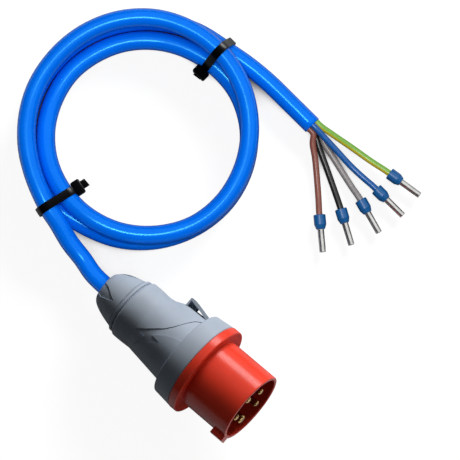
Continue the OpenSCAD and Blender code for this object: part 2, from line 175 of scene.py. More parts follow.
def tube(name: str, line: Sequence[Vector], radius: float, rounding: int) -> bpy.types.Object:
    """Sweeps a round tube along a line as a mesh with a UV map, U along it and V around it.

    Args:
        name: The piece's name.
        line: The points of its centre line.
        radius: Its radius.
        rounding: How finely it is rounded.

    Returns:
        The tube's object, open at both ends.
    """
    curve = bpy.data.curves.new(name + "_line", "CURVE")
    curve.dimensions = "3D"
    curve.bevel_depth = radius
    curve.bevel_resolution = rounding
    spline = curve.splines.new("POLY")
    spline.points.add(len(line) - 1)
    for point, place in zip(spline.points, line):
        point.co = (*place, 1)
    spline.use_smooth = True
    holder = place_object(name + "_line", curve)
    graph = bpy.context.evaluated_depsgraph_get()
    data = bpy.data.meshes.new_from_object(holder.evaluated_get(graph))
    data.name = name
    data.materials.clear()
    bpy.data.objects.remove(holder)
    bpy.data.curves.remove(curve)
    return place_object(name, data)


def close_ends(mesh: bmesh.types.BMesh) -> None:
    """Closes the open ends of a tube with one face each."""
    bmesh.ops.holes_fill(mesh, edges=[e for e in mesh.edges if e.is_boundary], sides=0)


def edges_of(verts: Sequence[bmesh.types.BMVert]) -> list[bmesh.types.BMEdge]:
    """Lists the edges at some vertices, each once and in a fixed order."""
    return list(dict.fromkeys(edge for vert in verts for edge in vert.link_edges))


def soften(
    mesh: bmesh.types.BMesh, edges: Sequence[bmesh.types.BMEdge], width: float, segments: int
) -> None:
    """Rounds edges.

    Args:
        mesh: The bmesh that they are in.
        edges: The edges to round.
        width: How far the rounding reaches from the edge.
        segments: How many faces go across it.
    """
    bmesh.ops.bevel(
        mesh, geom=edges, offset=width, segments=segments, profile=0.5, affect="EDGES", material=-1
    )


class Graph:
    """A material under construction, with short calls for the nodes that the finishes share."""

    def __init__(self, name: str) -> None:
        """Starts a material with a Principled shader.

        Args:
            name: The material's name.
        """
        self.material = bpy.data.materials.new(name)
        self.material.use_nodes = True
        self.tree = self.material.node_tree
        self.shader = self.tree.nodes["Principled BSDF"]

    def set(self, **values: float | tuple[float, ...]) -> None:
        """Sets plain values on the shader, with underscores for the spaces in socket names."""
        for key, value in values.items():
            self.shader.inputs[key.replace("_", " ")].default_value = value

    def link(self, source: Socket, socket: str) -> None:
        """Feeds a socket of the shader."""
        self.tree.links.new(source, self.shader.inputs[socket])

    def coordinates(
        self, kind: Coordinates, scale: Triple = (1, 1, 1), turn: Triple = (0, 0, 0)
    ) -> Socket:
        """Gives the coordinates that a pattern is laid out on.

        Args:
            kind: The object's own coordinates or its UV map.
            scale: Stretch along each axis.
            turn: Rotation about each axis, in radians.

        Returns:
            The vector socket.
        """
        source = self.tree.nodes.new("ShaderNodeTexCoord").outputs[kind.value]
        place = self.tree.nodes.new("ShaderNodeMapping")
        place.inputs["Scale"].default_value = scale
        place.inputs["Rotation"].default_value = turn
        self.tree.links.new(source, place.inputs["Vector"])
        return place.outputs["Vector"]

    def noise(self, vector: Socket, scale: float = 1.0, detail: float = 2.0) -> Socket:
        """Adds a noise pattern.

        Args:
            vector: The coordinates that it is laid out on.
            scale: Its fineness.
            detail: How many finer layers it has.

        Returns:
            The value socket.
        """
        node = self.tree.nodes.new("ShaderNodeTexNoise")
        node.inputs["Scale"].default_value = scale
        node.inputs["Detail"].default_value = detail
        self.tree.links.new(vector, node.inputs["Vector"])
        return node.outputs["Fac"]

    def wave(self, vector: Socket, scale: float, distortion: float = 0.0) -> Socket:
        """Adds soft bands across the vector's X axis.

        Args:
            vector: The coordinates that they are laid out on.
            scale: Their fineness.
            distortion: How unevenly they run.

        Returns:
            The value socket.
        """
        node = self.tree.nodes.new("ShaderNodeTexWave")
        node.inputs["Scale"].default_value = scale
        node.inputs["Distortion"].default_value = distortion
        self.tree.links.new(vector, node.inputs["Vector"])
        return node.outputs["Fac"]

    def blend(self, value: Socket, places: Pair, low: Colour, high: Colour) -> Socket:
        """Maps a value to a run between two colours.

        Args:
            value: The value socket, from 0 to 1.
            places: The values at which the run starts and ends.
            low: Colour up to its start.
            high: Colour from its end.

        Returns:
            The colour socket.
        """
        node = self.tree.nodes.new("ShaderNodeValToRGB")
        for element, place, colour in zip(node.color_ramp.elements, places, (low, high)):
            element.position = place
            element.color = (*colour, 1)
        self.tree.links.new(value, node.inputs["Fac"])
        return node.outputs["Color"]

    def span(self, value: Socket, low: float, high: float) -> Socket:
        """Maps a value from 0 to 1 onto a range.

        Args:
            value: The value socket.
            low: What 0 becomes.
            high: What 1 becomes.

        Returns:
            The socket of the mapped value.
        """
        node = self.tree.nodes.new("ShaderNodeMapRange")
        node.inputs["To Min"].default_value = low
        node.inputs["To Max"].default_value = high
        self.tree.links.new(value, node.inputs["Value"])
        return node.outputs["Result"]

    def bump(self, height: Socket, depth: float, show: float, under: Socket | None = None) -> Socket:
        """Turns a height into a bumped normal.

        Args:
            height: The height socket, from 0 to 1.
            depth: The height in metres that 1 stands for.
            show: The share of the bump that shows.
            under: A normal that this bump is laid over.

        Returns:
            The normal socket.
        """
        node = self.tree.nodes.new("ShaderNodeBump")
        node.inputs["Distance"].default_value = depth
        node.inputs["Strength"].default_value = show
        self.tree.links.new(height, node.inputs["Height"])
        if under is not None:
            self.tree.links.new(under, node.inputs["Normal"])
        return node.outputs["Normal"]


@dataclass(frozen=True)
class MouldedPlastic:
    """Injection-moulded plastic: fine spark-eroded grain over a faint, wide unevenness of the tone.

    Attributes:
        name: The material's name.
        colour: Mean colour.
        roughness: Mean roughness.
        specular: Specular level of the surface.
        grain: Size of the mould's grain.
        grain_depth: Depth of the grain.
        grain_show: Share of the grain's depth that shows.
        wander: How far the grain moves the roughness, either way.
        shade: Share by which the tone wanders, either way.
        cloud: Fineness of that wander.
        cloud_run: Where the wander starts and ends.
    """

    name: str
    colour: Colour
    roughness: float = 0.45
    specular: float = 0.5
    grain: float = 0.35 * MM
    grain_depth: float = 0.02 * MM
    grain_show: float = 0.6
    wander: float = 0.06
    shade: float = 0.06
    cloud: float = 60.0
    cloud_run: Pair = (0.3, 0.7)

    def material(self) -> bpy.types.Material:
        """Builds the material.

        Returns:
            The material.
        """
        graph = Graph(self.name)
        vector = graph.coordinates(Coordinates.OBJECT)
        low = tuple(c * (1 - self.shade) for c in self.colour)
        high = tuple(c * (1 + self.shade) for c in self.colour)
        cloud = graph.noise(vector, self.cloud, detail=4)
        graph.link(graph.blend(cloud, self.cloud_run, low, high), "Base Color")
        grain = graph.noise(vector, 1 / self.grain)
        rough = graph.span(grain, self.roughness - self.wander, self.roughness + self.wander)
        graph.link(rough, "Roughness")
        graph.link(graph.bump(grain, self.grain_depth, self.grain_show), "Normal")
        graph.set(Specular_IOR_Level=self.specular)
        return graph.material


@dataclass(frozen=True)
class JacketSkin:
    """Glossy extruded jacket: a faint rope-like swell from the cores inside and die lines along it.

    Attributes:
        name: The material's name.
        colour: Mean colour.
        deep: Colour of its darker clouds.
        length: Length of the jacket, which the UV map's U runs along.
        lay: Length of one twist of the cores inside.
        slant: Slant of the swell on the UV map.
        swell: Scale of the swell's bands.
        swell_wobble: How unevenly the bands run.
        swell_depth: Depth of the swell.
        swell_show: Share of that depth that shows.
        ripple: Length of one die line.
        ripple_around: Number of die lines around the jacket.
        ripple_depth: Depth of the die lines.
        ripple_show: Share of that depth that shows.
        smooth: Least roughness of the skin.
        dull: Greatest roughness of the skin.
        cloud: Fineness of the clouds in its colour.
        cloud_run: Where the clouds start and end.
        specular: Specular level of the skin.
        tint: Colour of its reflections.
    """

    name: str
    colour: Colour
    deep: Colour
    length: float
    lay: float = 110 * MM
    slant: float = math.radians(45)
    swell: float = 1.1
    swell_wobble: float = 0.4
    swell_depth: float = 0.25 * MM
    swell_show: float = 0.14
    ripple: float = 25 * MM
    ripple_around: float = 6.0
    ripple_depth: float = 0.12 * MM
    ripple_show: float = 0.2
    smooth: float = 0.15
    dull: float = 0.28
    cloud: float = 45.0
    cloud_run: Pair = (0.3, 0.72)
    specular: float = 0.4
    tint: Colour = (0.15, 0.9, 1.0)

    def material(self) -> bpy.types.Material:
        """Builds the material.

        Returns:
            The material.
        """
        graph = Graph(self.name)
        cloud = graph.noise(graph.coordinates(Coordinates.OBJECT), self.cloud, detail=3)
        graph.link(graph.blend(cloud, self.cloud_run, self.deep, self.colour), "Base Color")
        lines = (self.length / self.ripple, self.ripple_around, 1)
        ripple = graph.noise(graph.coordinates(Coordinates.UV, lines))
        graph.link(graph.span(ripple, self.smooth, self.dull), "Roughness")
        twists = (self.length / self.lay, 1, 1)
        twist = graph.coordinates(Coordinates.UV, twists, (0, 0, self.slant))
        swell = graph.wave(twist, self.swell, self.swell_wobble)
        rope = graph.bump(swell, self.swell_depth, self.swell_show)
        graph.link(graph.bump(ripple, self.ripple_depth, self.ripple_show, rope), "Normal")
        graph.set(Specular_IOR_Level=self.specular, Specular_Tint=(*self.tint, 1))
        return graph.material


@dataclass(frozen=True)
class CoreSkin:
    """Insulation of one core, with a second colour in stripes along it where it has two.

    Attributes:
        name: The material's name.
        colour: Main colour.
        stripe: Second colour, or the main colour again.
        turns: Twists of the stripes over the core's length.
        bands: Scale of the stripes around the core.
        edge: Where one stripe starts to turn into the other, and where it has.
        fade: Share of the main colour that dull patches keep.
        patch: Patches along and around a core of one colour.
        patch_run: Where the patches start and end.
        scuff: Scuffs along and around the core.
        scuff_depth: Depth of the scuffs.
        scuff_show: Share of that depth that shows.
        smooth: Least roughness.
        dull: Greatest roughness.
        specular: Specular level of the surface.
    """

    name: str
    colour: Colour
    stripe: Colour
    turns: float = 0.35
    bands: float = 0.3183
    edge: Pair = (0.44, 0.56)
    fade: float = 0.86
    patch: Triple = (18, 3, 1)
    patch_run: Pair = (0.35, 0.65)
    scuff: Triple = (9, 3, 1)
    scuff_depth: float = 0.012 * MM
    scuff_show: float = 0.3
    smooth: float = 0.24
    dull: float = 0.36
    specular: float = 0.45

    def colours(self, graph: Graph) -> Socket:
        """Adds the stripes, or the patches of a core of one colour.

        Args:
            graph: The material under construction.

        Returns:
            The colour socket.
        """
        if self.stripe == self.colour:
            faded = tuple(c * self.fade for c in self.colour)
            patches = graph.noise(graph.coordinates(Coordinates.UV, self.patch))
            return graph.blend(patches, self.patch_run, faded, self.colour)
        along = graph.coordinates(Coordinates.UV, (self.turns, 1, 1), (0, 0, math.radians(90)))
        return graph.blend(graph.wave(along, self.bands), self.edge, self.colour, self.stripe)

    def material(self) -> bpy.types.Material:
        """Builds the material.

        Returns:
            The material.
        """
        graph = Graph(self.name)
        graph.link(self.colours(graph), "Base Color")
        scuff = graph.noise(graph.coordinates(Coordinates.UV, self.scuff), detail=1)
        graph.link(graph.span(scuff, self.smooth, self.dull), "Roughness")
        graph.link(graph.bump(scuff, self.scuff_depth, self.scuff_show), "Normal")
        graph.set(Specular_IOR_Level=self.specular)
        return graph.material


@dataclass(frozen=True)
class TurnedMetal:
    """Turned or drawn metal, with fine rings across its axis and a patchy tarnish.

    Attributes:
        name: The material's name.
        colour: Colour of the clean metal.
        tarnish: Colour where it has dulled.
        roughness: Mean roughness.
        turn: Rotation that lays the rings across the axis.
        patch: Fineness of the tarnish.
        patch_run: Where the tarnish ends and the clean metal starts.
        rings: Fineness of the rings.
        ring_stretch: Stretch that draws the rings out across the axis.
        ring_depth: Depth of the rings.
        ring_show: Share of that depth that shows.
        wander: How far the rings move the roughness, down and up.
    """

    name: str
    colour: Colour
    tarnish: Colour
    roughness: float = 0.28
    turn: Triple = (0, 0, 0)
    patch: float = 220.0
    patch_run: Pair = (0.35, 0.6)
    rings: float = 1500.0
    ring_stretch: Triple = (1, 0.05, 0.05)
    ring_depth: float = 0.002 * MM
    ring_show: float = 0.3
    wander: Pair = (0.03, 0.04)

    def material(self) -> bpy.types.Material:
        """Builds the material.

        Returns:
            The material.
        """
        graph = Graph(self.name)
        patches = graph.noise(graph.coordinates(Coordinates.OBJECT), self.patch, detail=4)
        graph.link(graph.blend(patches, self.patch_run, self.tarnish, self.colour), "Base Color")
        across = graph.coordinates(Coordinates.OBJECT, self.ring_stretch, self.turn)
        rings = graph.noise(across, self.rings)
        down, up = self.wander
        graph.link(graph.span(rings, self.roughness - down, self.roughness + up), "Roughness")
        graph.link(graph.bump(rings, self.ring_depth, self.ring_show), "Normal")
        graph.set(Metallic=1.0)
        return graph.material


@dataclass(frozen=True)
class ContactShade:
    """Painted shade: how the floor's glow dims where the object stands close over it.

    Attributes:
        reach: How far up the floor looks for the object.
        shut: Openness up to which the floor is black.
        clear: Openness from which it is white.
    """

    reach: float
    shut: float
    clear: float


@dataclass(frozen=True)
class FloorFinish:
    """The floor: white to the eye and in reflections, with painted shade under the object, a quiet grey
    for stray light.

    Attributes:
        white: Strength of its white.
        pale: Colour that takes the lamps and their shadows on top of the white.
        grey: Colour that stray light meets.
        seen: Its painted shade under the object as the camera sees it.
        mirrored: Its painted shade under the object in glossy reflections.
    """

    white: float = 0.93
    pale: Colour = (0.3, 0.3, 0.3)
    grey: Colour = (0.2, 0.2, 0.205)
    seen: ContactShade = ContactShade(40 * MM, 0.1, 0.42)
    mirrored: ContactShade = ContactShade(160 * MM, 0.72, 1.0)

    def openness(self, tree: bpy.types.NodeTree, shade: ContactShade) -> Socket:
        """Adds the strength of the white under one painted shade.

        Args:
            tree: The floor's node tree.
            shade: The darkening.

        Returns:
            The socket of the strength.
        """
        # painted shade: ambient occlusion dims the floor's glow near the object, for the camera and in
        # reflections
        hidden = tree.nodes.new("ShaderNodeAmbientOcclusion")
        hidden.inputs["Distance"].default_value = shade.reach
        strength = tree.nodes.new("ShaderNodeMapRange")
        strength.inputs["From Min"].default_value = shade.shut
        strength.inputs["From Max"].default_value = shade.clear
        strength.inputs["To Max"].default_value = self.white
        tree.links.new(hidden.outputs["AO"], strength.inputs["Value"])
        return strength.outputs["Result"]

    def matt(self, tree: bpy.types.NodeTree, colour: Colour) -> Socket:
        """Adds a matt shader.

        Args:
            tree: The floor's node tree.
            colour: The shader's colour.

        Returns:
            The shader socket.
        """
        node = tree.nodes.new("ShaderNodeBsdfDiffuse")
        node.inputs["Color"].default_value = (*colour, 1)
        return node.outputs["BSDF"]

    def greater(self, tree: bpy.types.NodeTree, first: Socket, second: Socket) -> Socket:
        """Adds the greater of two values.

        Args:
            tree: The floor's node tree.
            first: The first value's socket.
            second: The second value's socket.

        Returns:
            The value socket.
        """
        node = tree.nodes.new("ShaderNodeMath")
        node.operation = "MAXIMUM"
        tree.links.new(first, node.inputs[0])
        tree.links.new(second, node.inputs[1])
        return node.outputs["Value"]

    def material(self) -> bpy.types.Material:
        """Builds the material.

        Returns:
            The material.
        """
        material = bpy.data.materials.new("studio_floor")
        material.use_nodes = True
        tree = material.node_tree
        tree.nodes.clear()
        ray = tree.nodes.new("ShaderNodeLightPath").outputs
        direct = self.greater(tree, ray["Is Camera Ray"], ray["Is Glossy Ray"])
        shown = self.greater(tree, direct, ray["Is Transmission Ray"])
        strength = tree.nodes.new("ShaderNodeMix")
        tree.links.new(ray["Is Glossy Ray"], strength.inputs["Factor"])
        tree.links.new(self.openness(tree, self.seen), strength.inputs["A"])
        tree.links.new(self.openness(tree, self.mirrored), strength.inputs["B"])
        glow = tree.nodes.new("ShaderNodeEmission")
        tree.links.new(strength.outputs["Result"], glow.inputs["Strength"])
        white = tree.nodes.new("ShaderNodeAddShader")
        tree.links.new(glow.outputs["Emission"], white.inputs[0])
        tree.links.new(self.matt(tree, self.pale), white.inputs[1])
        mix = tree.nodes.new("ShaderNodeMixShader")
        tree.links.new(shown, mix.inputs["Fac"])
        tree.links.new(self.matt(tree, self.grey), mix.inputs[1])
        tree.links.new(white.outputs["Shader"], mix.inputs[2])
        output = tree.nodes.new("ShaderNodeOutputMaterial")
        tree.links.new(mix.outputs["Shader"], output.inputs["Surface"])
        return material


@dataclass(frozen=True)
class PlugAxis:
    """Where the plug's axis lies: the plug rests on the rear edges of its barrel and its collar.

    Attributes:
        rear: The axis's point at the gland's end.
        tilt: How far it rises towards the pins.
    """

    rear: Triple = (-69.63929 * MM, 0.0, 17.46623 * MM)
    tilt: float = math.radians(11.993912)

    def direction(self) -> Vector:
        """Gives the axis towards the pins."""
        return Vector((math.cos(self.tilt), 0, math.sin(self.tilt)))

    def point(self, station: float) -> Vector:
        """Gives the point of the axis at a station from the gland's end."""
        return Vector(self.rear) + self.direction() * station


@dataclass(frozen=True)
class Viewpoint:
    """The camera: a long lens high above the floor, with the plug slanting down in the picture.

    Attributes:
        centre: The point in the middle of the picture.
        bearing: Turn of the picture's right away from X.
        elevation: Height of the camera as an angle above the floor.
        lens: Focal length in millimetres.
        sensor: Width of the sensor in millimetres.
        span: Width that the picture takes in: 460 pixels of 0.72 mm.
    """

    centre: Triple = (-29.25 * MM, 88.5 * MM, 16.8 * MM)
    bearing: float = math.radians(40.6)
    elevation: float = math.radians(85.3)
    lens: float = 270.0
    sensor: float = 36.0
    span: float = 460 * 0.72 * MM

    def level(self) -> tuple[Vector, Vector]:
        """Gives the picture's right and its up, both laid level."""
        right = Vector((math.cos(self.bearing), math.sin(self.bearing), 0))
        return right, UP.cross(right)

    def build(self) -> bpy.types.Object:
        """Places the camera and makes it the scene's.

        Returns:
            The camera.
        """
        right, plan = self.level()
        ahead = plan * math.cos(self.elevation) - UP * math.sin(self.elevation)
        up = plan * math.sin(self.elevation) + UP * math.cos(self.elevation)
        data = bpy.data.cameras.new("camera")
        data.lens = self.lens
        data.sensor_width = self.sensor
        data.sensor_fit = "HORIZONTAL"
        camera = place_object("camera", data)
        distance = self.lens / self.sensor * self.span
        turn = Matrix((right, up, -ahead)).transposed().to_4x4()
        camera.matrix_world = Matrix.Translation(Vector(self.centre) - ahead * distance) @ turn
        bpy.context.scene.camera = camera
        return camera


@dataclass(frozen=True)
class Lamp:
    """A soft lamp that faces the object and lights its own pieces alone.

    Attributes:
        name: The lamp's name.
        right: How far it hangs to the right in the picture, from the picture's centre.
        along: How far it hangs up the picture.
        above: How far it hangs above the picture's centre.
        size: Its two sides.
        power: Its power in watts.
    """

    name: str
    right: float
    along: float
    above: float
    size: Pair
    power: float

    def build(self, view: Viewpoint, lit: Pieces) -> bpy.types.Object:
        """Hangs the lamp.

        Args:
            view: The camera, whose picture it is placed by.
            lit: The pieces that it lights.

        Returns:
            The lamp.
        """
        data = bpy.data.lights.new(self.name, "AREA")
        data.shape = "RECTANGLE"
        data.size, data.size_y = self.size
        data.energy = self.power
        lamp = place_object(self.name, data)
        right, plan = view.level()
        place = right * self.right + plan * self.along + UP * self.above
        lamp.location = Vector(view.centre) + place
        lamp.rotation_euler = (-place).to_track_quat("-Z", "Y").to_euler()
        group = bpy.data.collections.new("lit_by_" + self.name)
        for piece in lit:
            group.objects.link(piece)
        lamp.light_linking.receiver_collection = group
        return lamp


@dataclass(frozen=True)
class Studio:
    """Pale floor and soft light: low lamps for the plug and its ties, lamps overhead for the cable.

    Attributes:
        view: The camera, whose picture the lamps are placed by.
        floor_half: Half the floor's side.
        key: The plug's main lamp, low at the picture's upper right.
        fill: A wide lamp over the cable and its ferrules.
        strip: A small lamp over the cable, for the streak along it.
        bounce: A weak lamp that softens the red front.
        face: A weak lamp before the plug's open end.
        sky: Strength of the light from all round.
        sky_colour: Colour of that light.
    """

    view: Viewpoint
    floor_half: float = 2.5
    key: Lamp = Lamp("key", 0.64, 1.2, 0.53, (0.85, 0.54), 27.0)
    fill: Lamp = Lamp("fill", 0.3, 0.4, 0.95, (1.9, 1.9), 14.5)
    strip: Lamp = Lamp("strip", -0.1, 0.0, 1.3, (0.2, 0.2), 7.0)
    bounce: Lamp = Lamp("bounce", -0.15, 0.8, 0.85, (1.0, 1.0), 2.8)
    face: Lamp = Lamp("face", 0.95, -0.8, 0.3, (0.8, 0.5), 3.0)
    sky: float = 0.05
    sky_colour: Colour = (0.93, 0.96, 1.0)

    def floor(self) -> bpy.types.Object:
        """Lays the floor.

        Returns:
            The floor's object.
        """
        mesh = bmesh.new()
        bmesh.ops.create_grid(mesh, x_segments=1, y_segments=1, size=self.floor_half)
        floor = mesh_object("studio_floor", mesh, smooth=False)
        floor.data.materials.append(FloorFinish().material())
        return floor

    def build(self, plug: Pieces, cable: Pieces, metal: Pieces, front: Pieces) -> None:
        """Lays the floor, hangs the lamps over their own pieces and sets the sky.

        Args:
            plug: The pieces that the key and the face lamp light.
            cable: The pieces under the fill and the strip.
            metal: The pieces under the fill alone.
            front: The pieces that the bounce softens.
        """
        floor = self.floor()
        self.key.build(self.view, [*plug, floor])
        self.fill.build(self.view, [*cable, *metal])
        self.strip.build(self.view, cable)
        self.bounce.build(self.view, front)
        self.face.build(self.view, plug)
        world = bpy.data.worlds.new("sky")
        bpy.context.scene.world = world
        world.use_nodes = True
        back = world.node_tree.nodes["Background"]
        back.inputs["Color"].default_value = (*self.sky_colour, 1)
        back.inputs["Strength"].default_value = self.sky
        LOG.info("studio: floor, five lamps and sky")


@dataclass
class Cable:
    """The five-core cable: jacket from the gland through two and a half turns to its cut end.

    Attributes:
        axis: The plug's axis, along which the cable leaves the gland.
        diameter: Diameter of the jacket.
        inside: How far the jacket reaches into the plug.
        straight: How far it runs straight out of the gland.
        centre: Middle of the coil, in millimetres.
        start: Bearing of the coil's start, in degrees.
        first: Wrap angle at which the lead joins the coil.
        end: Wrap angle at which the coil ends.
        step: Wrap angle from one point of the coil to the next.
        pieces: How many pieces the line has between two points.
        rounding: How finely the jacket is rounded.
        wall: Thickness of the jacket's wall at the cut.
        recess: How far the cut end is hollow.
        rim: Width of the rounded rim at the cut.
        rim_rise: How far that rim stands out.
        draft: How far the hollow narrows.
        radii: Wrap angle and distance from the coil's middle.
        heights: Wrap angle and height above the floor.
        lead: Points between the gland and the coil.
        tail: Points between the coil and the cut.
        cut: Middle of the cut end.
    """

    axis: PlugAxis
    diameter: float = 13.6 * MM
    inside: float = 27 * MM
    straight: float = 12 * MM
    centre: Pair = (-127.2, 101.7)
    start: float = 260.6
    first: int = -10
    end: int = 900
    step: int = 20
    pieces: int = 6
    rounding: int = 12
    wall: float = 1.25 * MM
    recess: float = 2.2 * MM
    rim: float = 0.25 * MM
    rim_rise: float = 0.12 * MM
    draft: float = 0.1 * MM
    radii: Table = (
        (-10, 90), (0, 86.6), (20, 82.4), (40, 80.8), (80, 78.7), (100, 78.8), (140, 80.2), (220, 80),
        (260, 81.2), (280, 80.9), (320, 76.5), (360, 71.3), (380, 69.2), (400, 67.3), (420, 65.6),
        (460, 63.9), (480, 64.4), (500, 65.7), (520, 68), (540, 71.6), (560, 76.2), (580, 79.4),
        (600, 81.1), (620, 81.8), (660, 81.2), (700, 80.2), (720, 82.6), (740, 82.7), (760, 81.7),
        (800, 78.6), (820, 78.2), (840, 78.4), (860, 80), (880, 82.4), (900, 86.4),
    )
    heights: Table = (
        (-10, 19.6), (0, 22), (20, 22), (60, 21.3), (140, 21.4), (160, 21.9), (180, 21.9), (200, 21.7),
        (220, 21.1), (340, 21), (360, 17.8), (380, 13.4), (400, 9.4), (420, 7.2), (500, 7.2), (520, 8.2),
        (540, 8.6), (560, 7.9), (580, 7), (680, 7), (700, 8), (720, 8.6), (740, 8.2), (760, 7.1),
        (860, 7.1), (880, 8.2), (900, 8.6),
    )
    lead: tuple[Triple, ...] = ((-96.4, 3.7, 13.1), (-111.4, 6.7, 15.2))
    tail: tuple[Triple, ...] = ((-96.8, 188.6, 7.9), (-78.3, 188.9, 7), (-57.8, 187.5, 7))
    cut: Triple = (-34, 185.7, 7)

    def coil_point(self, wrap: float) -> Vector:
        """Gives the cable's middle at a place on the coil.

        Args:
            wrap: Wrap angle in degrees from where the coil starts.

        Returns:
            The point.
        """
        angle = math.radians(self.start - wrap)
        radius = lookup(self.radii, wrap)
        x = self.centre[0] + radius * math.cos(angle)
        y = self.centre[1] + radius * math.sin(angle)
        return Vector((x, y, lookup(self.heights, wrap))) * MM

    def end_frame(self) -> tuple[Vector, Vector, Vector]:
        """Gives the axes of the cut end.

        Returns:
            The direction of the cut end, the side across it and the up across it.
        """
        ahead = (Vector(self.cut) - Vector(self.tail[-1])).normalized()
        side = UP.cross(ahead).normalized()
        return ahead, side, ahead.cross(side)

    def line(self) -> list[Vector]:
        """Gives the whole centre line.

        Returns:
            Its points, from inside the gland to the cut end.
        """
        points = [self.axis.point(self.inside), self.axis.point(-self.straight)]
        points += [Vector(p) * MM for p in self.lead]
        points.append(self.coil_point(self.first))
        points += [self.coil_point(w) for w in range(0, self.end + 1, self.step)]
        points += [Vector(p) * MM for p in self.tail]
        points.append(Vector(self.cut) * MM)
        return smooth_line(points, self.pieces)

    def build(self) -> bpy.types.Object:
        """Sweeps the jacket, cuts its far end hollow and dresses it.

        Returns:
            The jacket's object.
        """
        line = self.line()
        jacket = tube("jacket", line, self.diameter / 2, self.rounding)
        mesh = bmesh.new()
        mesh.from_mesh(jacket.data)
        close_ends(mesh)
        ends = [f for f in mesh.faces if len(f.verts) > 4]
        cut = min(ends, key=lambda f: (f.calc_center_median() - line[-1]).length)
        bmesh.ops.inset_region(mesh, faces=[cut], thickness=self.rim, depth=self.rim_rise)
        bmesh.ops.inset_region(mesh, faces=[cut], thickness=self.wall)
        bmesh.ops.inset_region(mesh, faces=[cut], thickness=self.draft, depth=-self.recess)
        bmesh.ops.recalc_face_normals(mesh, faces=mesh.faces)
        mesh.to_mesh(jacket.data)
        mesh.free()
        length = line_length(line)
        skin = JacketSkin("jacket_blue", (0.0, 0.168, 0.92), (0.0, 0.15, 0.86), length)
        jacket.data.materials.append(skin.material())
        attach(jacket, ROOT_BODY)
        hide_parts("cable_jacket")
        LOG.info("jacket: %.0f mm of cable, %d faces", length / MM, len(jacket.data.polygons))
        return jacket

    def declare(self) -> None:
        line = self.line()
        self.axis.point(0)


